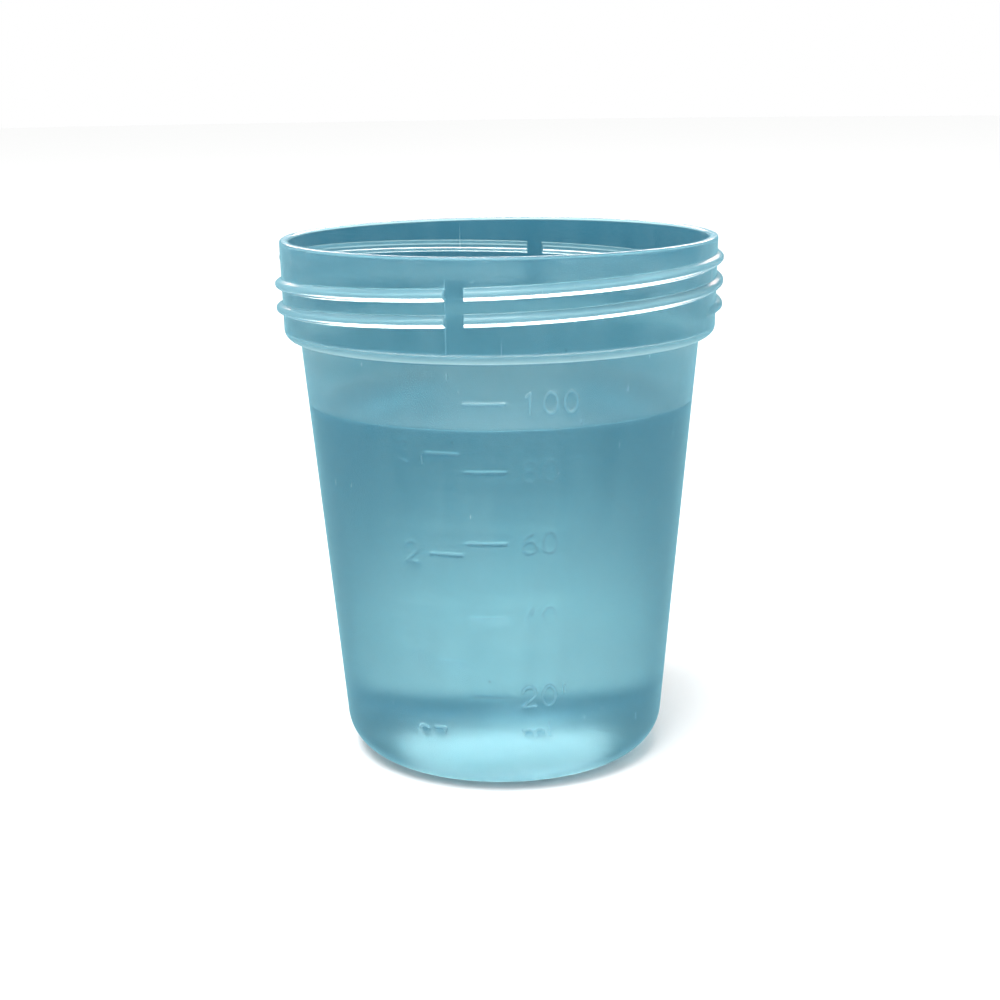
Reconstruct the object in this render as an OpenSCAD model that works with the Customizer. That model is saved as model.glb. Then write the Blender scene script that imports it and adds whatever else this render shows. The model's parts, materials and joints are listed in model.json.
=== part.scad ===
// Fuel sampler cup: a one-piece moulded plastic cup with a screw collar, holding a fuel sample.
// Millimetres, +Z up. The origin is the centre of the foot, on the surface that the cup stands on.
// The scale of the cup faces -Y.

/* [Cup] */
// Height from the foot to the rim
cup_height = 74.7; // [68:0.1:90]
// Outer diameter at the rim
rim_diameter = 61.5; // [61.2:0.1:64]
// Outer diameter of the body just under the collar
body_top_diameter = 56.5; // [54:0.1:57]
// Outer diameter that the body's straight wall would have at the foot
body_foot_diameter = 45.3; // [40:0.1:50]
// Thickness of the body's wall
wall_thickness = 1.0; // [0.8:0.05:1.3]
// Thickness of the floor
floor_thickness = 1.2; // [0.8:0.05:2]
// Outer radius of the corner between the wall and the floor
foot_corner_radius = 6.0; // [4:0.1:8]
// Depth of the shallow recess under the floor
foot_recess_depth = 0.4; // [0.2:0.05:0.6]
// Width of the flat ring that the cup stands on
foot_ring_width = 3.0; // [2:0.1:5]

/* [Collar] */
// Height of the collar, from the body to the rim
collar_height = 13.8; // [13.6:0.1:16]
// Outer diameter of the collar just above its rounded lower edge
collar_diameter = 60.9; // [60:0.1:61.5]
// Radius of the collar's rounded lower edge
collar_edge_radius = 1.4; // [1:0.1:1.8]
// Inner diameter of the mouth
mouth_diameter = 59.0; // [58:0.1:59]
// Radius of the rounded rim
rim_round = 0.4; // [0.2:0.05:0.4]

/* [Thread] */
// Number of thread ridges side by side
thread_starts = 2; // [1:1:2]
// Rise of a ridge in one turn
thread_lead = 6.7; // [6:0.1:7.5]
// How far around the cup a ridge runs, in degrees
thread_sweep = 387; // [340:1:400]
// How far a ridge stands out of the collar
thread_depth = 0.9; // [0.6:0.05:1.2]
// Width of a ridge at its root
thread_width = 1.6; // [1.4:0.05:2.1]
// Depth below the rim of the middle of a ridge where it ends
thread_top_drop = 2.75; // [2.2:0.05:2.8]
// Direction of the first ridge's lower end, turned from the scale towards +X
thread_start_angle = 68; // [40:1:120]
// Direction of the gap that all ridges share on the scale's side
thread_gap_angle = -10.7; // [-20:0.1:10]
// Width of that gap and of the one opposite
thread_gap_width = 2.4; // [1.5:0.1:5]

/* [Scale] */
// Depth of the raised lines and figures
mark_depth = 0.2; // [0.1:0.05:0.3]
// Width of a raised stroke
mark_stroke = 0.45; // [0.3:0.05:0.5]
// Height of the figures
figure_height = 2.9; // [2.8:0.1:3.6]
// Volume between two lines of the metric scale, in millilitres
metric_step = 20; // [20:20:40]
// Largest volume on the metric scale, in millilitres
metric_full = 100; // [60:20:100]

/* [Fuel] */
// Volume of the fuel sample, in millilitres
fuel_volume = 92; // [20:1:100]

/* [Hidden] */
$fn = 96;

plastic_colour = [0.55, 0.76, 0.82, 0.55];
fuel_colour = [0.30, 0.62, 0.76, 0.60];

millilitre = 1000;
fluid_ounce = 28.41 * millilitre;
film = 0.02;
overshoot = 1;

// The body's outer wall is a straight line that leans out as it rises
shoulder_z = cup_height - collar_height;
taper = (body_top_diameter - body_foot_diameter) / 2 / shoulder_z;
lean = atan(taper);
function body_radius(z) = body_foot_diameter / 2 + taper * z;
function inner_radius(z) = body_radius(z) - wall_thickness / cos(lean);

// The corner arc touches both the foot plane and the wall
corner_centre_r = body_radius(foot_corner_radius) - foot_corner_radius / cos(lean);
corner_top_z = foot_corner_radius * (1 - sin(lean));
inner_corner_radius = foot_corner_radius - wall_thickness;
inner_corner_z = floor_thickness + inner_corner_radius;
inner_corner_r = inner_radius(inner_corner_z) - inner_corner_radius / cos(lean);
inner_corner_top_z = inner_corner_z - inner_corner_radius * sin(lean);

// The collar's wall also leans out a little, down to its rounded lower edge
collar_edge_z = shoulder_z + collar_edge_radius;
collar_edge_r = collar_diameter / 2 - collar_edge_radius;
collar_taper = (rim_diameter - collar_diameter) / 2 / (cup_height - collar_edge_z);
function collar_radius(z) = collar_diameter / 2 + collar_taper * (z - collar_edge_z);
collar_step = 0.95;
inner_edge_radius = 0.45;
inner_edge_r = mouth_diameter / 2 - inner_edge_radius;
inner_edge_z = shoulder_z + collar_step + inner_edge_radius;
rim_z = cup_height - rim_round;

// Inner radius of the wall, and the height, up to which the cup holds a volume
corner_loss = (1 - PI / 4) * pow(inner_corner_radius, 2) * 2 * PI * (inner_corner_r + 0.78 * inner_corner_radius);
function volume_radius(volume) =
    pow(pow(inner_radius(floor_thickness), 3) + (volume + corner_loss) * 3 * taper / PI, 1 / 3);
function volume_height(volume) =
    (volume_radius(volume) + wall_thickness / cos(lean) - body_foot_diameter / 2) / taper;
fuel_z = volume_height(fuel_volume * millilitre);

// Scale layout: directions turned from -Y towards +X, in degrees, and sizes in millimetres
metric_line = [-10, 1];
metric_figures_start = 6;
ounce_line = [-21.5, -12];
ounce_figures_start = -30;
units_z = 9;
units_share = 0.95;
figure_aspect = 0.62;
figure_pitch = 0.95;
mark_root = 0.3;
ounce_lines = floor(metric_full * millilitre / fluid_ounce);

// Thread ridge: rings of points, each a rounded section whose root lies inside the collar's wall
ring_step = 5;
section_steps = 8;
section_power = 2;
ridge_root = 0.5;
run_out = 14;
end_share = 0.12;
gap_half_angle = thread_gap_width / collar_diameter * 180 / PI;
function ridge_z(turn) = cup_height - thread_top_drop - thread_lead * (thread_sweep - turn) / 360;
function ridge_share(turn) = min(1, end_share + (1 - end_share) * min(turn, thread_sweep - turn) / run_out);
function ridge_point(angle, z, r) = [r * sin(angle), -r * cos(angle), z];
function ridge_ring(start, turn) =
    let (z = ridge_z(turn), depth = thread_depth * ridge_share(turn), half = thread_width / 2)
    [
        ridge_point(start + turn, z - half, collar_radius(z) - ridge_root),
        for (i = [0 : section_steps])
            let (t = 2 * i / section_steps - 1)
            ridge_point(start + turn, z + half * t, collar_radius(z) + depth * (1 - pow(abs(t), section_power))),
        ridge_point(start + turn, z + half, collar_radius(z) - ridge_root)
    ];

// Turns, counted from a ridge's lower end, where it crosses the two gaps
function gap_turn(start, side) = (thread_gap_angle + side * 180 - start + 720) % 360;
function gap_turns(start) =
    let (a = gap_turn(start, 0), b = gap_turn(start, 1)) [min(a, b), max(a, b)];

// Figures are square blocks with bevelled corners, cut back to strokes of the mark's width.
// A cut is open to a side where it runs past the block.
wide_letter = 1.45;
small_letter = 0.7;
bevel_share = 0.55;

module cut(low, high) {
    translate(low) square(high - low);
}

module block(wide, high) {
    bevel = bevel_share * mark_stroke;
    polygon([
        [bevel, 0], [wide - bevel, 0], [wide, bevel], [wide, high - bevel],
        [wide - bevel, high], [bevel, high], [0, high - bevel], [0, bevel]
    ]);
}

// A block with an upper and a lower hollow, each between two distances across the block
module two_storey(wide, high, upper, lower) {
    middle = high / 2;
    half = mark_stroke / 2;
    difference() {
        block(wide, high);
        cut([upper[0], middle + half], [upper[1], high - mark_stroke]);
        cut([lower[0], mark_stroke], [lower[1], middle - half]);
    }
}

module figure(name, high) {
    wide = figure_aspect * high;
    s = mark_stroke;
    closed = [s, wide - s];
    open_left = [-s, wide - s];
    open_right = [s, wide + s];
    if (name == "0") difference() {
        block(wide, high);
        cut([s, s], [wide - s, high - s]);
    }
    if (name == "1") translate([(wide - s) / 2, 0]) square([s, high]);
    if (name == "2") two_storey(wide, high, open_left, open_right);
    if (name == "3") two_storey(wide, high, open_left, open_left);
    if (name == "4") difference() {
        block(wide, high);
        cut([s, (high + s) / 2], [wide - s, high + s]);
        cut([-s, -s], [wide - s, (high - s) / 2]);
    }
    if (name == "6") two_storey(wide, high, open_right, closed);
    if (name == "8") two_storey(wide, high, closed, closed);
    if (name == "m") difference() {
        block(wide * wide_letter, high * small_letter);
        cut([s, -s], [(wide * wide_letter - s) / 2, high * small_letter - s]);
        cut([(wide * wide_letter + s) / 2, -s], [wide * wide_letter - s, high * small_letter - s]);
    }
    if (name == "L") difference() {
        square([wide, high]);
        cut([s, s], [wide + s, high + s]);
    }
    if (name == "o") difference() {
        block(wide, high * small_letter);
        cut([s, s], [wide - s, high * small_letter - s]);
    }
    if (name == "z") difference() {
        square([wide, high * small_letter]);
        polygon([[-s, s], [-s, high * small_letter - s], [wide - 1.4 * s, high * small_letter - s]]);
        polygon([[wide + s, high * small_letter - s], [wide + s, s], [1.4 * s, s]]);
    }
}

// A row of figures standing on the body's wall. The first starts at the given direction
module figures(names, start, z, high) {
    pitch = figure_pitch * high / body_radius(z) * 180 / PI;
    for (i = [0 : len(names) - 1])
        rotate([0, 0, start + i * pitch])
            translate([0, -body_radius(z), z])
                rotate([90 + lean, 0, 0])
                    translate([0, -high / 2, -mark_root])
                        linear_extrude(mark_root + mark_depth) figure(names[i], high);
}

// A raised line on the body's wall, between two directions
module scale_line(ends, z) {
    low = z - mark_stroke / 2;
    high = z + mark_stroke / 2;
    rotate([0, 0, ends[0] - 90])
        rotate_extrude(angle = ends[1] - ends[0])
            polygon([
                [body_radius(low) - mark_root, low],
                [body_radius(low) + mark_depth, low],
                [body_radius(high) + mark_depth, high],
                [body_radius(high) - mark_root, high]
            ]);
}

module scale_marks() {
    for (volume = [metric_step : metric_step : metric_full]) {
        z = volume_height(volume * millilitre);
        scale_line(metric_line, z);
        figures(str(volume), metric_figures_start, z, figure_height);
    }
    for (ounces = [1 : ounce_lines]) {
        z = volume_height(ounces * fluid_ounce);
        scale_line(ounce_line, z);
        figures(str(ounces), ounce_figures_start, z, figure_height);
    }
    figures("mL", metric_figures_start, units_z, units_share * figure_height);
    figures("oz", ounce_figures_start, units_z, units_share * figure_height);
}

// One stretch of a ridge between two turns
module ridge_stretch(start, from_turn, to_turn) {
    rings = ceil((to_turn - from_turn) / ring_step) + 1;
    count = section_steps + 3;
    turns = [for (k = [0 : rings - 1]) from_turn + (to_turn - from_turn) * k / (rings - 1)];
    sides = [
        for (k = [0 : rings - 2], i = [0 : count - 1])
            let (j = (i + 1) % count, a = k * count, b = a + count)
            each [[a + i, a + j, b + i], [a + j, b + j, b + i]]
    ];
    first_end = [for (i = [count - 1 : -1 : 0]) i];
    last_end = [for (i = [0 : count - 1]) (rings - 1) * count + i];
    polyhedron(
        points = [for (turn = turns) each ridge_ring(start, turn)],
        faces = concat(sides, [first_end, last_end]),
        convexity = 6
    );
}

module thread() {
    for (n = [0 : thread_starts - 1]) {
        start = thread_start_angle + n * 360 / thread_starts;
        gaps = gap_turns(start);
        ridge_stretch(start, 0, gaps[0] - gap_half_angle);
        ridge_stretch(start, gaps[0] + gap_half_angle, gaps[1] - gap_half_angle);
        ridge_stretch(start, gaps[1] + gap_half_angle, thread_sweep);
    }
}

// Half sections are drawn with the cup's axis along Y
// A rounded step: all that lies inside the radius, up to a height, with its lower corner round
module rounded_corner(centre, radius, top) {
    translate([0, centre.y - radius]) square([centre.x, top - centre.y + radius]);
    intersection() {
        translate(centre) circle(r = radius);
        translate([centre.x - overshoot, centre.y - radius])
            square([radius + 2 * overshoot, top - centre.y + radius]);
    }
}

module outer_section() {
    rounded_corner([corner_centre_r, foot_corner_radius], foot_corner_radius, corner_top_z);
    polygon([
        [0, corner_top_z],
        [body_radius(corner_top_z), corner_top_z],
        [body_radius(shoulder_z), shoulder_z],
        [0, shoulder_z]
    ]);
    rounded_corner([collar_edge_r, collar_edge_z], collar_edge_radius, collar_edge_z);
    polygon([
        [0, collar_edge_z],
        [collar_radius(collar_edge_z), collar_edge_z],
        [collar_radius(rim_z), rim_z],
        [0, rim_z]
    ]);
}

// The hollow of the body up to a height on its straight wall
module hollow_section(top) {
    rounded_corner([inner_corner_r, inner_corner_z], inner_corner_radius, inner_corner_top_z);
    polygon([
        [0, inner_corner_top_z],
        [inner_radius(inner_corner_top_z), inner_corner_top_z],
        [inner_radius(top), top],
        [0, top]
    ]);
}

module collar_hollow_section() {
    rounded_corner([inner_edge_r, inner_edge_z], inner_edge_radius, inner_edge_z);
    translate([0, inner_edge_z]) square([mouth_diameter / 2, collar_height]);
}

module rim_section() {
    inner = mouth_diameter / 2 + rim_round;
    outer = collar_radius(rim_z) - rim_round;
    intersection() {
        union() {
            translate([inner, rim_z]) circle(r = rim_round);
            translate([outer, rim_z]) circle(r = rim_round);
            translate([inner, rim_z]) square([outer - inner, rim_round]);
        }
        translate([inner - overshoot, rim_z]) square([outer - inner + 2 * overshoot, rim_round]);
    }
}

module cup() {
    color(plastic_colour) {
        difference() {
            union() {
                rotate_extrude() outer_section();
                scale_marks();
                thread();
            }
            rotate_extrude() hollow_section(shoulder_z + collar_step);
            rotate_extrude() collar_hollow_section();
            translate([0, 0, -overshoot])
                cylinder(h = foot_recess_depth + overshoot, r = corner_centre_r - foot_ring_width);
        }
        rotate_extrude() rim_section();
    }
}

// The liquid, a thin film's thickness clear of the walls
module fuel_sample() {
    color(fuel_colour)
        translate([0, 0, film])
            rotate_extrude() hollow_section(fuel_z - film);
}

cup();
fuel_sample();
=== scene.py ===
import json
import math

import bpy
import numpy as np
from mathutils import Euler, Matrix, Vector


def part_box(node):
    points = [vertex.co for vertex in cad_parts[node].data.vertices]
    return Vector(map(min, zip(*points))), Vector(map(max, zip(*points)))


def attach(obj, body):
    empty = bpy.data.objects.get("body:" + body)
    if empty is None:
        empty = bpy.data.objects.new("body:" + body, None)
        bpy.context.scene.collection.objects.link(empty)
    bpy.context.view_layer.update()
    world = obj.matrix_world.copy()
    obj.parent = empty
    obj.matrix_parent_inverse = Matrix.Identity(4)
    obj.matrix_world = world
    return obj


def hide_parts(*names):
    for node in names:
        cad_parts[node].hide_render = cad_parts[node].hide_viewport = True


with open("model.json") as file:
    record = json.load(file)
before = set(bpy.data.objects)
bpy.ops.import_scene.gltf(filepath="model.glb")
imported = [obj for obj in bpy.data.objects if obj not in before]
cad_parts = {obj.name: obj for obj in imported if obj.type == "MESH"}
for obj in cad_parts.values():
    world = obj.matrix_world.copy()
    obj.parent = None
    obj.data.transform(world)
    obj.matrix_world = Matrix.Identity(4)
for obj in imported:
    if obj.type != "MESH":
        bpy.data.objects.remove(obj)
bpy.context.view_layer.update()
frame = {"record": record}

# ---------------------------------------------------------------- sizes, in millimetres until a mesh is made
MM = 0.001
mounts = {m["name"]: m for m in frame["record"]["mounts"]}

CUP_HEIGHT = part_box("cup")[1].z / MM
FUEL_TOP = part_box("fuel_sample")[1].z / MM
MOUTH_R = mounts["mouth"]["dims"]["r_mm"]
RIM_R = 30.75
RIM_ROUND = 0.4
COLLAR_R = 30.45
COLLAR_HEIGHT = 13.8
COLLAR_EDGE = 1.4
COLLAR_STEP = 0.95
INNER_EDGE = 0.45
STEP_ROUND = 0.3
SHOULDER_FILLET = 0.35
BODY_TOP_R = 28.25
BODY_FOOT_R = 22.65
WALL = 1.0
FLOOR = 1.2
FOOT_CORNER = 6.0
FOOT_RING = 3.0
FOOT_RECESS = 0.4
RECESS_ROUND = 0.2

SHOULDER_Z = CUP_HEIGHT - COLLAR_HEIGHT
TAPER = (BODY_TOP_R - BODY_FOOT_R) / SHOULDER_Z
LEAN = math.atan(TAPER)
COLLAR_EDGE_Z = SHOULDER_Z + COLLAR_EDGE
COLLAR_EDGE_R = COLLAR_R - COLLAR_EDGE
COLLAR_TAPER = (RIM_R - COLLAR_R) / (CUP_HEIGHT - COLLAR_EDGE_Z)
RIM_Z = CUP_HEIGHT - RIM_ROUND
STEP_Z = SHOULDER_Z + COLLAR_STEP
INNER_EDGE_R = MOUTH_R - INNER_EDGE
INNER_EDGE_Z = STEP_Z + INNER_EDGE

# The thread: ridges side by side, cut by two gaps on opposite sides. Directions are in degrees from -Y.
THREAD_STARTS = 2
THREAD_LEAD = 6.7
THREAD_SWEEP = 387.0
THREAD_DEPTH = 0.9
THREAD_WIDTH = 1.6
THREAD_TOP = CUP_HEIGHT - 2.75
THREAD_START = 68.0
THREAD_RUN_OUT = 14.0
THREAD_POWER = 2.6
THREAD_GAP = -10.7
THREAD_GAP_WIDTH = 2.4
GAP_HALF = math.degrees(THREAD_GAP_WIDTH / (2 * COLLAR_R))
GAP_SLOPE = 0.25
WITNESS_DEPTH = 0.1
WITNESS_HALF = 0.3

# The scale: raised lines and figures, worn down, some more than others.
MARK_DEPTH = 0.07
MARK_STROKE = 0.45
MARK_SOFT = 0.1
FIGURE_HEIGHT = 2.9
FIGURE_ASPECT = 0.62
FIGURE_PITCH = 0.95
SMALL_LETTER = 0.7
UNITS_Z = 9.0
UNITS_SHARE = 0.95
METRIC_LINE = (-10.0, 1.0)
METRIC_FIGURES = 6.0
OUNCE_LINE = (-21.5, -12.0)
OUNCE_FIGURES = -30.0
METRIC_VOLUMES = (20, 40, 60, 80, 100)
LOWEST, FULLEST = METRIC_VOLUMES[0], METRIC_VOLUMES[-1]
OUNCE_VOLUMES = (1, 2, 3)
MILLILITRE = 1000.0
FLUID_OUNCE = 28.41 * MILLILITRE
LINE_SHARE = 0.6
FIGURE_SHARE = 0.9
FAINT_SHARE = 0.3

# The liquid. Its mesh reaches into the plastic, because a gap between them would mirror like a film of air.
FUEL_OVERLAP = 0.1
MENISCUS_RISE = 0.2
MENISCUS_REACH = 0.5

# How milky each place is, from 0 to 1, and how far that reaches. Some of it is painted light: extra milk
# lightens the ridges' upper halves, the foot and the wall just above the liquid.
RIDGE_MILK = 0.5
# Painted highlight: the ridge milk is moved this far up each ridge, so that its upper half, which faces the
# light, comes out lighter.
RIDGE_LIT_SHIFT = 0.4
FLANK_MILK = 0.5
MARK_MILK = 0.4
EDGE_MILK = 0.9
EDGE_FADE = 0.4
RIM_MILK = 0.25
# Painted light: the lower body is made milkier, and so lighter, towards the foot, where light gathers.
FOOT_GLOW_MILK = 0.17
FOOT_GLOW_TOP = 17.0
FOOT_GLOW_FADE = 6.0
# Painted light: the outer wall is made milkier, and so lighter, just above the liquid, fading out over the
# height below.
GLOW_ABOVE_LIQUID_MILK = 0.28
GLOW_ABOVE_LIQUID_HEIGHT = 8.0

# How finely the meshes are divided: rows in millimetres, columns in degrees.
BODY_ROW = 2.0
MARK_ROW = 0.16
MARK_REACH = FIGURE_HEIGHT / 2 + 0.35
COLLAR_ROW = 0.3
THREAD_ROW = 0.09
THREAD_MARGIN = 0.2
MOUTH_ROW = 0.8
INNER_ROW = 2.5
NEXT_ROW = 0.1  # from the end of an arc to the first row of the straight wall after it
MIDDLE_R = 1.5  # a fan of triangles closes each mesh inside this radius
PLAIN_COLUMN = 2.5
MARK_COLUMN = 0.36
MARK_COLUMNS_END = 22.5
GAP_COLUMNS = (-0.4, -0.13, 0, 0.13, 0.4)
FUEL_COLUMN = 1.5
FUEL_EDGE_ROWS = (0.2, 0.1, 0.05, 0.02)


def body_r(z):
    return BODY_FOOT_R + TAPER * z


def inner_r(z):
    return body_r(z) - WALL / math.cos(LEAN)


def collar_r(z):
    return COLLAR_R + COLLAR_TAPER * (z - COLLAR_EDGE_Z)


CORNER_R = body_r(FOOT_CORNER) - FOOT_CORNER / math.cos(LEAN)
INNER_CORNER = FOOT_CORNER - WALL
INNER_CORNER_Z = FLOOR + INNER_CORNER
INNER_CORNER_R = inner_r(INNER_CORNER_Z) - INNER_CORNER / math.cos(LEAN)


def volume_height(volume):
    """The height to which the cup holds a volume, in cubic millimetres."""
    loss_middle = INNER_CORNER_R + 0.78 * INNER_CORNER  # the middle of what the rounded corner takes away
    corner_loss = (1 - math.pi / 4) * INNER_CORNER**2 * 2 * math.pi * loss_middle
    cube = inner_r(FLOOR) ** 3 + (volume + corner_loss) * 3 * TAPER / math.pi
    return (cube ** (1 / 3) + WALL / math.cos(LEAN) - BODY_FOOT_R) / TAPER


# ---------------------------------------------------------------- camera, at the photograph's viewing angle
CAMERA_DISTANCE = 262.1
CAMERA_HEIGHT = 98.5
CAMERA_PITCH = 13.343
CAMERA_ROLL = -0.734
CAMERA_YAW = -0.06
CAMERA_LENS = 66.64


def add_camera():
    camera = bpy.data.objects.new("camera", bpy.data.cameras.new("camera"))
    bpy.context.scene.collection.objects.link(camera)
    camera.data.sensor_width = 36
    camera.data.lens = CAMERA_LENS
    camera.data.clip_start = 0.01
    look = Euler((math.radians(90 - CAMERA_PITCH), 0, math.radians(-CAMERA_YAW))).to_matrix()
    look = look @ Matrix.Rotation(math.radians(CAMERA_ROLL), 3, "Z")
    camera.matrix_world = look.to_4x4()
    camera.location = (0, -CAMERA_DISTANCE * MM, CAMERA_HEIGHT * MM)
    bpy.context.scene.camera = camera


# ---------------------------------------------------------------- outlines: points of (radius, height)
def arc(centre, radius, start, end, count):
    angles = np.radians(np.linspace(start, end, count))
    return [(centre[0] + radius * math.cos(a), centre[1] + radius * math.sin(a)) for a in angles]


def line(start, end, count):
    """The points between start and end that divide the stretch into count parts."""
    return [tuple(p) for p in np.linspace(start, end, count + 1)[1:-1]]


def wall_line(radius_at, heights):
    return [(radius_at(z), z) for z in heights]


def steps(start, end, pitch):
    return np.linspace(start, end, max(2, round(abs(end - start) / pitch) + 1))


def mark_heights():
    """The heights of the middles of all lines, figures and unit letters, lowest first."""
    metric = [volume_height(v * MILLILITRE) for v in METRIC_VOLUMES]
    ounce = [volume_height(v * FLUID_OUNCE) for v in OUNCE_VOLUMES]
    return sorted(metric + ounce + [UNITS_Z])


def near_marks(z):
    return any(abs(z - m) < MARK_REACH for m in mark_heights())


def body_rows():
    """Heights up the body's wall: close together where figures stand, and wide apart elsewhere."""
    z, rows = FOOT_CORNER * (1 - math.sin(LEAN)) + NEXT_ROW / 2, []
    while z < SHOULDER_Z - SHOULDER_FILLET:
        rows.append(z)
        ahead = [m - MARK_REACH - z for m in mark_heights() if m - MARK_REACH > z]
        z += MARK_ROW if near_marks(z) else max(MARK_ROW, min([BODY_ROW] + ahead))
    return rows


def underside():
    """The recess under the foot, the flat ring round it, and the foot's corner."""
    ring_r = CORNER_R - FOOT_RING
    outline = [(MIDDLE_R, FOOT_RECESS)]
    outline += line((MIDDLE_R, FOOT_RECESS), (ring_r - 2 * RECESS_ROUND, FOOT_RECESS), 4)
    outline += arc((ring_r - RECESS_ROUND, FOOT_RECESS - RECESS_ROUND), RECESS_ROUND, 90, 0, 5)
    outline += arc((ring_r + RECESS_ROUND, RECESS_ROUND), RECESS_ROUND, 180, 270, 5)[1:]
    outline += line((ring_r + RECESS_ROUND, 0), (CORNER_R, 0), 3)
    return outline + arc((CORNER_R, FOOT_CORNER), FOOT_CORNER, -90, -math.degrees(LEAN), 30)


def outer_wall():
    """The body, the shoulder, the collar's rounded edge, and the collar up to the rim."""
    fillet = (BODY_TOP_R + SHOULDER_FILLET, SHOULDER_Z - SHOULDER_FILLET)
    edge = arc((COLLAR_EDGE_R, COLLAR_EDGE_Z), COLLAR_EDGE, -90, 0, 24)
    beside = THREAD_WIDTH / 2 + THREAD_MARGIN
    low = THREAD_TOP - THREAD_LEAD * THREAD_SWEEP / 360 - beside
    high = THREAD_TOP + beside
    outline = wall_line(body_r, body_rows())
    outline += arc(fillet, SHOULDER_FILLET, 180, 90, 8)
    outline += [p for p in edge if p[0] > fillet[0] + NEXT_ROW / 2]
    outline += wall_line(collar_r, steps(COLLAR_EDGE_Z + NEXT_ROW, low, COLLAR_ROW))
    outline += wall_line(collar_r, steps(low + THREAD_ROW, high, THREAD_ROW))
    return outline + wall_line(collar_r, steps(high + 1.5 * NEXT_ROW, RIM_Z - NEXT_ROW, COLLAR_ROW))


def rim_and_inside():
    """The rim, the mouth, the step under the collar, the inner wall, its corner and the floor."""
    step_r = inner_r(STEP_Z)
    wall_low = INNER_CORNER_Z - INNER_CORNER * math.sin(LEAN) + 3 * NEXT_ROW
    outline = arc((collar_r(RIM_Z) - RIM_ROUND, RIM_Z), RIM_ROUND, 0, 90, 9)
    outline += arc((MOUTH_R + RIM_ROUND, RIM_Z), RIM_ROUND, 90, 180, 9)
    outline += [(MOUTH_R, z) for z in steps(RIM_Z - 3 * NEXT_ROW, INNER_EDGE_Z + NEXT_ROW, MOUTH_ROW)]
    outline += arc((INNER_EDGE_R, INNER_EDGE_Z), INNER_EDGE, 0, -90, 8)
    outline += arc((step_r + STEP_ROUND, STEP_Z - STEP_ROUND), STEP_ROUND, 90, 180, 6)
    outline += wall_line(inner_r, steps(STEP_Z - 2 * STEP_ROUND, wall_low, INNER_ROW))
    outline += arc((INNER_CORNER_R, INNER_CORNER_Z), INNER_CORNER, -math.degrees(LEAN), -90, 24)
    return outline + line((INNER_CORNER_R, FLOOR), (MIDDLE_R, FLOOR), 6) + [(MIDDLE_R, FLOOR)]


def fuel_outline():
    """The liquid: its underside, its wall, and a surface that rises at the edge in a shallow meniscus."""
    low = FLOOR - FUEL_OVERLAP
    edge = inner_r(FUEL_TOP) + FUEL_OVERLAP
    heights = [*steps(INNER_CORNER_Z, FUEL_TOP - 0.4, BODY_ROW), *(FUEL_TOP - d for d in FUEL_EDGE_ROWS)]
    outline = [(MIDDLE_R, low)] + line((MIDDLE_R, low), (INNER_CORNER_R, low), 6)
    corner = (INNER_CORNER_R, INNER_CORNER_Z)
    outline += arc(corner, INNER_CORNER + FUEL_OVERLAP, -90, -math.degrees(LEAN), 30)
    outline += [(inner_r(z) + FUEL_OVERLAP, z) for z in heights]
    inward = [np.linspace(0.02, 1, 12), np.linspace(1.3, 7, 12), np.linspace(9, edge - MIDDLE_R, 10)]
    for d in np.concatenate(inward):
        outline.append((edge - d, FUEL_TOP - MENISCUS_RISE * (1 - math.exp(-d / MENISCUS_REACH))))
    return np.array(outline)


# ---------------------------------------------------------------- relief on the outer wall
def smooth(t):
    return t * t * (3 - 2 * t)


def ridge_height(angle, z):
    """How far the thread stands out of the collar at each direction and height."""
    total = np.zeros_like(z)
    for n in range(THREAD_STARTS):
        for lap in (0, 360):
            turn = np.mod(angle - THREAD_START - n * 360 / THREAD_STARTS, 360) + lap
            middle = THREAD_TOP - THREAD_LEAD * (THREAD_SWEEP - turn) / 360
            across = np.abs(z - middle) / (THREAD_WIDTH / 2)
            share = np.clip(np.minimum(turn, THREAD_SWEEP - turn) / THREAD_RUN_OUT, 0, 1)
            section = np.clip(1 - np.clip(across, 0, 1) ** THREAD_POWER, 0, 1)
            total = np.maximum(total, THREAD_DEPTH * smooth(share) * section)
    for side in (0, 180):
        off = np.abs(np.mod(angle - THREAD_GAP - side + 180, 360) - 180)
        total = total * smooth(np.clip((off - GAP_HALF) / GAP_SLOPE + 0.5, 0, 1))
    return total


def witness_height(angle, z):
    """The mould's fine upright line at one edge of the gap, from the collar's edge to the top ridge."""
    off = np.abs(angle - (THREAD_GAP - GAP_HALF)) / WITNESS_HALF
    return WITNESS_DEPTH * np.clip(1 - off, 0, 1) * (z < THREAD_TOP)


def curve(centre, radii, start, end):
    count = max(3, round(abs(end - start) / 15) + 1)
    a = np.radians(np.linspace(start, end, count))
    return [(centre[0] + radii[0] * math.cos(t), centre[1] + radii[1] * math.sin(t)) for t in a]


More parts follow.
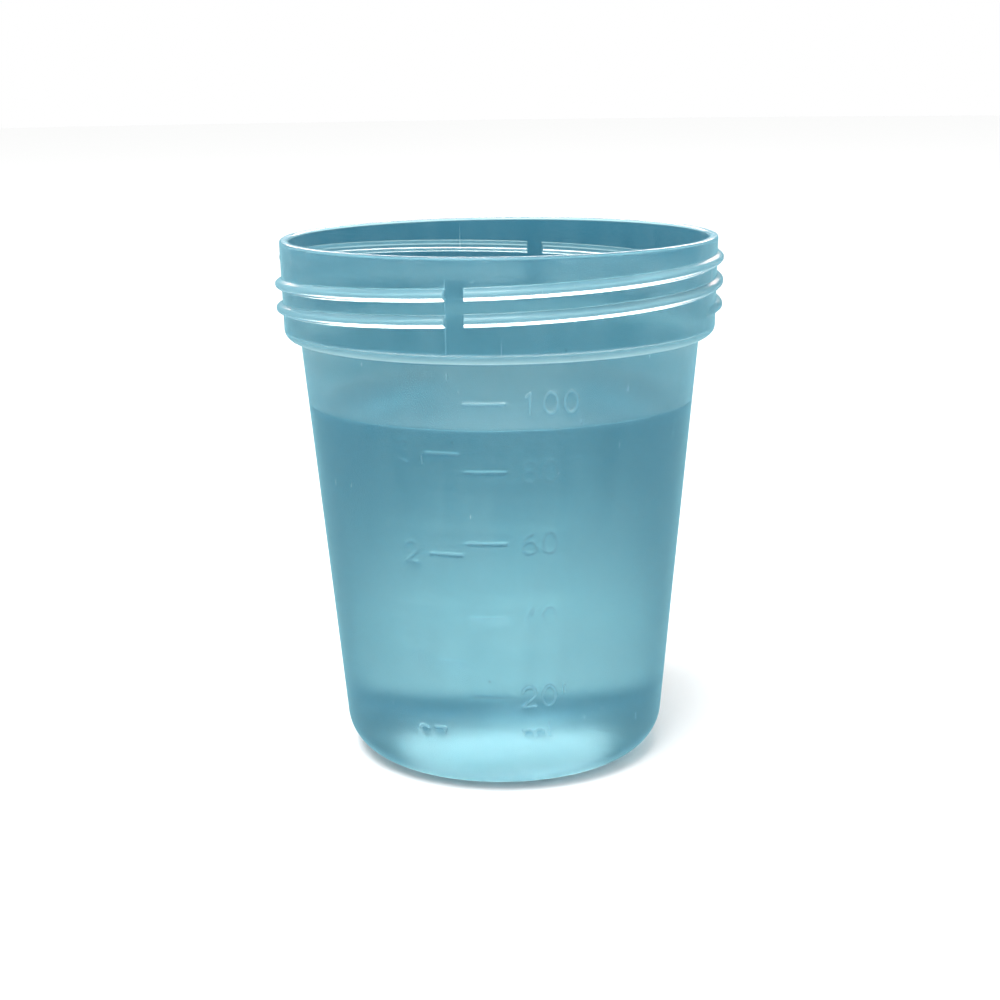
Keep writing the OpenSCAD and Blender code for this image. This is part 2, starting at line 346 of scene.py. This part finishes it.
def glyph(name):
    """The strokes of a figure or letter, in a cell that is FIGURE_ASPECT wide and 1 high."""
    w = FIGURE_ASPECT
    c = w / 2
    small = SMALL_LETTER
    return {
        "0": [curve((c, 0.5), (c, 0.5), 0, 360)],
        "1": [[(0.12, 0.8), (c, 1), (c, 0)]],
        "2": [curve((c, 0.7), (c, 0.3), 170, -35) + [(0, 0), (w, 0)]],
        "3": [curve((c, 0.75), (0.9 * c, 0.25), 150, -90), curve((c, 0.26), (c, 0.26), 90, -150)],
        "4": [[(0.74 * w, 0), (0.74 * w, 1), (0, 0.32), (w, 0.32)]],
        "6": [curve((c, 0.29), (c, 0.29), 0, 360), curve((w, 0.3), (w, 0.7), 105, 180)],
        "8": [curve((c, 0.76), (0.85 * c, 0.24), 0, 360), curve((c, 0.27), (c, 0.27), 0, 360)],
        "m": [
            [(0, 0), (0, small)],
            curve((0.45 * w, 0.45), (0.45 * w, 0.25), 180, 0) + [(0.9 * w, 0)],
            curve((1.35 * w, 0.45), (0.45 * w, 0.25), 180, 0) + [(1.8 * w, 0)],
        ],
        "L": [[(0.6 * w, 1), (0.6 * w, 0), (1.3 * w, 0)]],
        "o": [curve((c, small / 2), (c, small / 2), 0, 360)],
        "z": [[(0, small), (0.9 * w, small), (0, 0), (0.9 * w, 0)]],
    }[name]


def text_row(names, start, z, high, share):
    pitch = math.degrees(FIGURE_PITCH * high / body_r(z))
    cells = []
    for i, name in enumerate(names):
        strokes = [[(x * high, (y - 0.5) * high) for x, y in path] for path in glyph(name)]
        cells.append((start + i * pitch, z, strokes, share))
    return cells


def marks():
    """All raised lines and figures, each as the direction of its cell's left edge, the height of its
    middle, its strokes in millimetres, and the share of the full relief that is left."""
    found = []
    for volumes, unit, ends, figures in (
        (METRIC_VOLUMES, MILLILITRE, METRIC_LINE, METRIC_FIGURES),
        (OUNCE_VOLUMES, FLUID_OUNCE, OUNCE_LINE, OUNCE_FIGURES),
    ):
        for volume in volumes:
            z = volume_height(volume * unit)
            length = math.radians(ends[1] - ends[0]) * body_r(z)
            found.append((ends[0], z, [[(0, 0), (length, 0)]], 1.0 if volume == FULLEST else LINE_SHARE))
            share = FIGURE_SHARE if volume in (LOWEST, FULLEST) else FAINT_SHARE
            found += text_row(str(volume), figures, z, FIGURE_HEIGHT, share)
    for unit, start in (("mL", METRIC_FIGURES), ("oz", OUNCE_FIGURES)):
        found += text_row(unit, start, UNITS_Z, FIGURE_HEIGHT * UNITS_SHARE, 1.0)
    return found


def distance_to(path, u, v):
    """The distance of each point (u, v) from a path of straight stretches."""
    best = np.full(u.shape, np.inf)
    for (x0, y0), (x1, y1) in zip(path[:-1], path[1:]):
        dx, dy = x1 - x0, y1 - y0
        t = np.clip(((u - x0) * dx + (v - y0) * dy) / (dx * dx + dy * dy), 0, 1)
        best = np.minimum(best, np.hypot(u - x0 - t * dx, v - y0 - t * dy))
    return best


def mark_height(angle, z):
    """How far the scale stands out of the body's wall at each direction and height."""
    total = np.zeros_like(z)
    for start, middle, paths, share in marks():
        u = np.radians(angle - start) * body_r(middle)
        v = (z - middle) / math.cos(LEAN)
        near = (np.abs(v) < FIGURE_HEIGHT) & (u > -FIGURE_HEIGHT) & (u < 2 * FIGURE_HEIGHT)
        for path in paths:
            inside = MARK_STROKE / 2 - distance_to(path, u[near], v[near])
            raised = share * MARK_DEPTH * smooth(np.clip(inside / (2 * MARK_SOFT) + 0.5, 0, 1))
            total[near] = np.maximum(total[near], raised)
    return total


# ---------------------------------------------------------------- meshes
def column_angles():
    """Directions of the mesh's columns, close together across the scale and at the ends of the ridges,
    and which of them every row has."""
    plain = set(np.round(np.arange(-180, 180, PLAIN_COLUMN), 3))
    for side in (0, 180):
        for edge in (-GAP_HALF, GAP_HALF):
            plain |= {round(THREAD_GAP + side + edge + d, 3) for d in GAP_COLUMNS}
    fine = set(np.round(np.arange(OUNCE_FIGURES - 1, MARK_COLUMNS_END, MARK_COLUMN), 3))
    fine = {a for a in fine if min(abs(a - p) for p in plain) > MARK_COLUMN / 4}
    angles = sorted(plain | fine)
    return np.array(angles), np.array([a in plain for a in angles])


def ring_faces(number, below, above, edges):
    """The faces between two rows of points, one for each stretch between neighbouring edge columns."""
    count = number.shape[1]
    faces = []
    for start, end in zip(edges, [*edges[1:], edges[0] + count]):
        stretch = [c % count for c in range(start, end + 1)]
        low = [number[below, c] for c in stretch if number[below, c] >= 0]
        high = [number[above, c] for c in reversed(stretch) if number[above, c] >= 0]
        faces.append([int(n) for n in low + high])
    return faces


def lathe_mesh(name, outline, angles, relief=0.0, milk=None, used=None):
    """A closed solid of revolution. The outline runs from its lower to its upper point near the axis, with
    the solid on its left. Where used is given, it says which columns each row has."""
    z, a = np.broadcast_arrays(outline[:, 1][:, None], angles[None, :])
    used = np.ones(z.shape, bool) if used is None else used
    radius = outline[:, 0][:, None] + relief
    points = np.stack([radius * np.sin(np.radians(a)), -radius * np.cos(np.radians(a)), z], axis=-1)[used]
    number = np.where(used, np.cumsum(used).reshape(used.shape) - 1, -1)
    faces = []
    for row in range(len(outline) - 1):
        shared = np.flatnonzero(used[row] & used[row + 1])
        faces += ring_faces(number, row, row + 1, shared.tolist())
    start, end = len(points), len(points) + 1
    for middle, row, turn in ((start, 0, -1), (end, -1, 1)):
        ring = [int(n) for n in number[row] if n >= 0][::turn]
        faces += [[middle, p, q] for p, q in zip(ring, [*ring[1:], ring[0]])]
    points = np.vstack([points, [(0, 0, outline[0, 1]), (0, 0, outline[-1, 1])]]) * MM
    mesh = bpy.data.meshes.new(name)
    mesh.from_pydata(points.tolist(), [], faces)
    mesh.polygons.foreach_set("use_smooth", [True] * len(mesh.polygons))
    if milk is not None:
        values = np.append(milk[used], [milk[0, 0], milk[-1, 0]]).astype(np.float32)
        mesh.attributes.new("milk", "FLOAT", "POINT").data.foreach_set("value", values)
    mesh.update()
    piece = bpy.data.objects.new(name, mesh)
    bpy.context.scene.collection.objects.link(piece)
    return piece


def cup_milk(angle, z, outer, ridges, marked):
    """How milky each place is: the ridges, the marks, the collar's edge and the rim, and as painted light the
    ridges' upper halves, the foot, and a glow on the outer wall just above the liquid."""
    # Painted highlight: the ridge's profile is moved up, so that milk lightens the upper half, which faces
    # the light.
    lit_ridge_tops = np.where(ridges > 0, ridge_height(angle, z - RIDGE_LIT_SHIFT), 0)
    edge = np.clip((COLLAR_EDGE_Z + EDGE_FADE - z) / (COLLAR_EDGE + EDGE_FADE), 0, 1)
    # Painted light: milk that lightens the lower body, full at the foot and fading out higher up.
    foot = np.clip((FOOT_GLOW_TOP - z) / FOOT_GLOW_FADE, 0, 1)
    # Painted light: milk that lightens the outer wall just above the liquid's surface and fades upwards.
    glow_above_liquid = np.clip(1 - (z - FUEL_TOP) / GLOW_ABOVE_LIQUID_HEIGHT, 0, 1)
    return np.maximum.reduce([
        RIDGE_MILK * lit_ridge_tops / THREAD_DEPTH,
        FLANK_MILK * ridges / THREAD_DEPTH,
        MARK_MILK * marked,
        EDGE_MILK * edge * (outer & (z > SHOULDER_Z - NEXT_ROW)),
        FOOT_GLOW_MILK * foot * outer,
        RIM_MILK * (z > RIM_Z - NEXT_ROW / 2),
        GLOW_ABOVE_LIQUID_MILK * glow_above_liquid * (outer & (z > FUEL_TOP + NEXT_ROW) & (z < SHOULDER_Z)),
    ])


def add_cup():
    outline = np.array(underside() + outer_wall() + rim_and_inside())
    angles, everywhere = column_angles()
    a, z = np.broadcast_arrays(angles[None, :], outline[:, 1][:, None])
    outer = (np.arange(len(outline)) <= np.argmax(outline[:, 1]))[:, None]
    on_collar = outer & (z > COLLAR_EDGE_Z) & (z < RIM_Z)
    on_body = outer & (z > FOOT_CORNER) & (z < SHOULDER_Z)
    ridges = np.where(on_collar, ridge_height(a, z), 0)
    witness = np.where(on_collar, witness_height(a, z), 0)
    scale = np.where(on_body, mark_height(a, z), 0)
    milk = cup_milk(a, z, outer, ridges, scale / MARK_DEPTH + witness / WITNESS_DEPTH)
    fine = on_body & np.array([near_marks(h) for h in outline[:, 1]])[:, None]
    relief = np.maximum(ridges, witness) + scale
    return lathe_mesh("cup_shell", outline, angles, relief, milk, everywhere[None, :] | fine)


def add_fuel():
    return lathe_mesh("fuel_body", fuel_outline(), np.arange(-180, 180, FUEL_COLUMN))


# ---------------------------------------------------------------- materials
CLEAR_A = (0.64, 0.87, 0.91)
CLEAR_B = (0.69, 0.89, 0.92)
PLASTIC_IOR = 1.49
MIRROR_LEVEL = 0.3
ROUGH = 0.19
BUMP = 0.02
HAZE = 0.1
HAZE_THIN = (0.07, 0.4, 0.58)
HAZE_MILKIEST = (0.48, 0.66, 0.67)
SPECK_PITCH = 5.0
SPECK_SIZE = 0.03
SPECK_SHARE = 0.6
SPECK_COLOUR = (0.02, 0.09, 0.11)
SPECK_HAZE = 0.6
FUEL_COLOUR = (0.75, 0.92, 0.98)
FUEL_IOR = 1.40
FUEL_ROUGH = 0.12
FLOOR_COLOUR = (0.97, 0.97, 0.97)


def new_material(name):
    material = bpy.data.materials.new(name)
    material.use_nodes = True
    material.node_tree.nodes.clear()
    return material, material.node_tree


def add(tree, kind, **values):
    """A new node. Each value goes to the input of that name or, where there is none, to the property."""
    node = tree.nodes.new(kind)
    for key, value in values.items():
        if key in node.inputs:
            node.inputs[key].default_value = value
        else:
            setattr(node, key, value)
    return node


def place_mm(tree):
    """The place on the object in millimetres, for textures sized in millimetres."""
    place = add(tree, "ShaderNodeTexCoord")
    scaled = add(tree, "ShaderNodeMapping", Scale=(1 / MM,) * 3)
    tree.links.new(place.outputs["Object"], scaled.inputs["Vector"])
    return scaled.outputs[0]


def noise(tree, place, size, detail=2.0, stretch=(1, 1, 1)):
    """Smooth noise whose lumps are about size millimetres, drawn out along the axes by stretch."""
    squeezed = add(tree, "ShaderNodeMapping", Scale=[1 / (size * k) for k in stretch])
    texture = add(tree, "ShaderNodeTexNoise", Scale=1.0, Detail=detail)
    tree.links.new(place, squeezed.inputs["Vector"])
    tree.links.new(squeezed.outputs[0], texture.inputs["Vector"])
    return texture.outputs["Fac"]


def spread(tree, value, low, high, out_low, out_high):
    """The value carried from one range to another, and held at its ends."""
    span = add(tree, "ShaderNodeMapRange")
    for name, number in (("From Min", low), ("From Max", high), ("To Min", out_low), ("To Max", out_high)):
        span.inputs[name].default_value = number
    tree.links.new(value, span.inputs["Value"])
    return span.outputs["Result"]


def blend(tree, share, colour_a, colour_b):
    mixed = add(tree, "ShaderNodeMix", data_type="RGBA")
    tree.links.new(share, mixed.inputs["Factor"])
    for colour, socket in ((colour_a, mixed.inputs[6]), (colour_b, mixed.inputs[7])):
        if isinstance(colour, tuple):
            socket.default_value = (*colour, 1)
        else:
            tree.links.new(colour, socket)
    return mixed.outputs[2]


def calculate(tree, operation, first, second):
    node = add(tree, "ShaderNodeMath", operation=operation)
    for value, socket in ((first, node.inputs[0]), (second, node.inputs[1])):
        if isinstance(value, (int, float)):
            socket.default_value = value
        else:
            tree.links.new(value, socket)
    return node.outputs[0]


def mix_shaders(tree, share, first, second):
    mix = add(tree, "ShaderNodeMixShader")
    if isinstance(share, (int, float)):
        mix.inputs[0].default_value = share
    else:
        tree.links.new(share, mix.inputs[0])
    tree.links.new(first.outputs[0], mix.inputs[1])
    tree.links.new(second.outputs[0], mix.inputs[2])
    return mix


def speck_places(tree, place):
    """1 in a few tiny round specks and 0 elsewhere."""
    cells = add(tree, "ShaderNodeTexVoronoi", Scale=1 / SPECK_PITCH)
    pick = add(tree, "ShaderNodeSeparateColor")
    tree.links.new(place, cells.inputs["Vector"])
    tree.links.new(cells.outputs["Color"], pick.inputs[0])
    near = spread(tree, cells.outputs["Distance"], SPECK_SIZE, SPECK_SIZE * 1.6, 1.0, 0.0)
    few = spread(tree, pick.outputs[0], SPECK_SHARE, SPECK_SHARE + 0.01, 0.0, 1.0)
    return calculate(tree, "MULTIPLY", near, few)


def surface_bump(tree, grain, flow, worn):
    """Moulded grain and flow marks, with scratches cut into them."""
    bump = add(tree, "ShaderNodeBump", Distance=BUMP * MM)
    height = calculate(tree, "ADD", calculate(tree, "MULTIPLY", grain, 0.3), flow)
    height = calculate(tree, "SUBTRACT", height, calculate(tree, "MULTIPLY", worn, 0.3))
    tree.links.new(height, bump.inputs["Height"])
    return bump.outputs[0]


def clear_plastic(tree, clouds, flow, worn, bump):
    clear = add(tree, "ShaderNodeBsdfPrincipled", IOR=PLASTIC_IOR)
    clear.inputs["Transmission Weight"].default_value = 1.0
    clear.inputs["Specular IOR Level"].default_value = MIRROR_LEVEL
    colour = blend(tree, spread(tree, clouds, 0.35, 0.65, 0.0, 1.0), CLEAR_A, CLEAR_B)
    rough = spread(tree, flow, 0.3, 0.7, ROUGH - 0.03, ROUGH + 0.03)
    rough = calculate(tree, "ADD", rough, calculate(tree, "MULTIPLY", worn, 0.1))
    tree.links.new(colour, clear.inputs["Base Color"])
    tree.links.new(rough, clear.inputs["Roughness"])
    tree.links.new(bump, clear.inputs["Normal"])
    return clear


def milky_plastic(tree, milk_and_painted_light, specks, bump):
    """What scatters light: half of it back and half of it through."""
    colour = blend(tree, specks, blend(tree, milk_and_painted_light, HAZE_THIN, HAZE_MILKIEST), SPECK_COLOUR)
    back = add(tree, "ShaderNodeBsdfDiffuse")
    through = add(tree, "ShaderNodeBsdfTranslucent")
    for shader in (back, through):
        tree.links.new(colour, shader.inputs["Color"])
        tree.links.new(bump, shader.inputs["Normal"])
    return mix_shaders(tree, 0.5, back, through)


def plastic_material():
    """Clear blue-tinted polypropylene: a little milky all through, and more so in its thicker places; the
    extra milk on the ridges' upper halves, the foot and the wall above the liquid is painted light.
    """
    material, tree = new_material("cup_plastic")
    place = place_mm(tree)
    clouds = noise(tree, place, size=9.0, detail=3.0)
    grain = noise(tree, place, size=0.5)
    flow = noise(tree, place, size=3.0, stretch=(1, 1, 5))
    scratches = noise(tree, place, size=0.35, detail=1.0, stretch=(1, 1, 30))
    worn = spread(tree, scratches, 0.76, 0.82, 0.0, 1.0)
    # The milk attribute holds real milkiness where the plastic is thicker, and painted light on the ridges'
    # upper halves, the foot and the wall above the liquid.
    milk_and_painted_light = add(tree, "ShaderNodeAttribute", attribute_name="milk").outputs["Fac"]
    specks = speck_places(tree, place)
    bump = surface_bump(tree, grain, flow, worn)
    clear = clear_plastic(tree, clouds, flow, worn, bump)
    milky = milky_plastic(tree, milk_and_painted_light, specks, bump)

    share = spread(tree, clouds, 0.3, 0.7, HAZE * 0.85, HAZE * 1.15)
    share = calculate(tree, "ADD", share, calculate(tree, "MULTIPLY", worn, 0.02))
    share = calculate(tree, "ADD", share, milk_and_painted_light)
    share = calculate(tree, "MAXIMUM", share, calculate(tree, "MULTIPLY", specks, SPECK_HAZE))
    out = add(tree, "ShaderNodeOutputMaterial")
    tree.links.new(mix_shaders(tree, share, clear, milky).outputs[0], out.inputs["Surface"])
    return material


def fuel_material():
    material, tree = new_material("fuel")
    out = add(tree, "ShaderNodeOutputMaterial")
    liquid = add(tree, "ShaderNodeBsdfPrincipled", IOR=FUEL_IOR, Roughness=FUEL_ROUGH)
    liquid.inputs["Base Color"].default_value = (*FUEL_COLOUR, 1)
    liquid.inputs["Transmission Weight"].default_value = 1.0
    tree.links.new(liquid.outputs[0], out.inputs["Surface"])
    return material


def floor_material():
    material, tree = new_material("floor")
    out = add(tree, "ShaderNodeOutputMaterial")
    paper = add(tree, "ShaderNodeBsdfPrincipled", Roughness=0.8)
    paper.inputs["Base Color"].default_value = (*FLOOR_COLOUR, 1)
    paper.inputs["Specular IOR Level"].default_value = 0.0
    tree.links.new(paper.outputs[0], out.inputs["Surface"])
    return material


# ---------------------------------------------------------------- stage, in metres
FLOOR_RADIUS = 3.0
FLOOR_SIDES = 96

# What transmitted rays see at each height of the surround, from -1 straight down to 1 straight up: bright
# below, dark round the horizon, and soft light above. It gives the liquid its dark top and its light foot.
SURROUND = [
    (-1.0, (1.0, 0.65, 0.55)),
    (-0.93, (0.6, 0.5, 0.48)),
    (-0.86, (0.2, 0.25, 0.25)),
    (-0.78, (0.1, 0.15, 0.15)),
    (-0.65, (0.6, 0.6, 0.6)),
    (-0.5, (2.4, 2.5, 2.5)),
    (-0.32, (1.0, 1.2, 1.2)),
    (-0.25, (2.1, 1.8, 1.7)),
    (-0.215, (1.3, 1.3, 1.1)),
    (-0.185, (0.3, 0.65, 0.85)),
    (-0.155, (0.03, 0.1, 0.12)),
    (-0.09, (0.03, 0.13, 0.2)),
    (0.0, (0.12, 0.4, 0.55)),
    (0.15, (0.1, 0.25, 0.35)),
    (0.25, (0.75, 0.85, 0.82)),
    (0.5, (1.2, 1.0, 0.9)),
    (1.0, (0.5, 0.9, 0.95)),
]
MIRRORED = (0.45, 0.88, 1.0)  # what reflected rays see all round


def add_floor():
    turns = [2 * math.pi * i / FLOOR_SIDES for i in range(FLOOR_SIDES)]
    ring = [(FLOOR_RADIUS * math.cos(t), FLOOR_RADIUS * math.sin(t), 0) for t in turns]
    mesh = bpy.data.meshes.new("floor")
    mesh.from_pydata(ring, [], [tuple(range(FLOOR_SIDES))])
    floor = bpy.data.objects.new("floor", mesh)
    floor.data.materials.append(floor_material())
    bpy.context.scene.collection.objects.link(floor)
    floor.visible_transmission = False
    floor.visible_glossy = False


def add_area_light(name, place, aim, size, power, colour=(1, 1, 1)):
    data = bpy.data.lights.new(name, "AREA")
    data.shape = "RECTANGLE"
    data.size, data.size_y = size
    data.energy = power
    data.color = colour
    light = bpy.data.objects.new(name, data)
    bpy.context.scene.collection.objects.link(light)
    light.location = place
    light.rotation_euler = (Vector(aim) - light.location).to_track_quat("-Z", "Y").to_euler()
    return light


def surround_colour(tree):
    """The colour of SURROUND at the height that a ray leaves for."""
    place = add(tree, "ShaderNodeTexCoord")
    split = add(tree, "ShaderNodeSeparateXYZ")
    ramp = add(tree, "ShaderNodeValToRGB")
    tree.links.new(place.outputs["Generated"], split.inputs[0])
    tree.links.new(spread(tree, split.outputs["Z"], -1, 1, 0, 1), ramp.inputs["Fac"])
    elements = ramp.color_ramp.elements
    while len(elements) < len(SURROUND):
        elements.new(0.5)
    for element, (height, colour) in zip(elements, SURROUND):
        element.position = (height + 1) / 2
        element.color = (*colour, 1)
    return ramp.outputs["Color"]


def add_world():
    """White for the camera and for diffuse rays, one colour for reflected rays, and SURROUND for the rest."""
    world = bpy.data.worlds.new("studio")
    bpy.context.scene.world = world
    world.use_nodes = True
    tree = world.node_tree
    tree.nodes.clear()
    path = add(tree, "ShaderNodeLightPath").outputs
    around = add(tree, "ShaderNodeBackground")
    white = add(tree, "ShaderNodeBackground", Color=(1, 1, 1, 1))
    mirror = add(tree, "ShaderNodeBackground", Color=(*MIRRORED, 1))
    tree.links.new(surround_colour(tree), around.inputs["Color"])
    plain = calculate(tree, "MAXIMUM", path["Is Camera Ray"], path["Is Diffuse Ray"])
    not_plain = calculate(tree, "SUBTRACT", 1, plain)
    reflected = calculate(tree, "MULTIPLY", path["Is Reflection Ray"], not_plain)
    seen = mix_shaders(tree, reflected, mix_shaders(tree, plain, around, white), mirror)
    out = add(tree, "ShaderNodeOutputWorld")
    tree.links.new(seen.outputs[0], out.inputs["Surface"])


# ---------------------------------------------------------------- the scene
add_camera()
add_world()
add_floor()
add_area_light("key", place=(-0.15, -0.25, 0.8), aim=(0, 0, 0.04), size=(0.5, 0.5), power=9.0)
back_light = add_area_light(
    "back", place=(0, 0.9, 0.5), aim=(0, 0, 0.03), size=(0.9, 0.36), power=12.0, colour=(1, 0.7, 0.62)
)
back_light.visible_diffuse = False  # else the floor would take its warm tint

cup = add_cup()
cup.data.materials.append(plastic_material())
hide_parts("cup")
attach(cup, "root")

fuel = add_fuel()
fuel.data.materials.append(fuel_material())
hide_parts("fuel_sample")
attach(fuel, "root")

bpy.context.scene.view_settings.view_transform = "Standard"
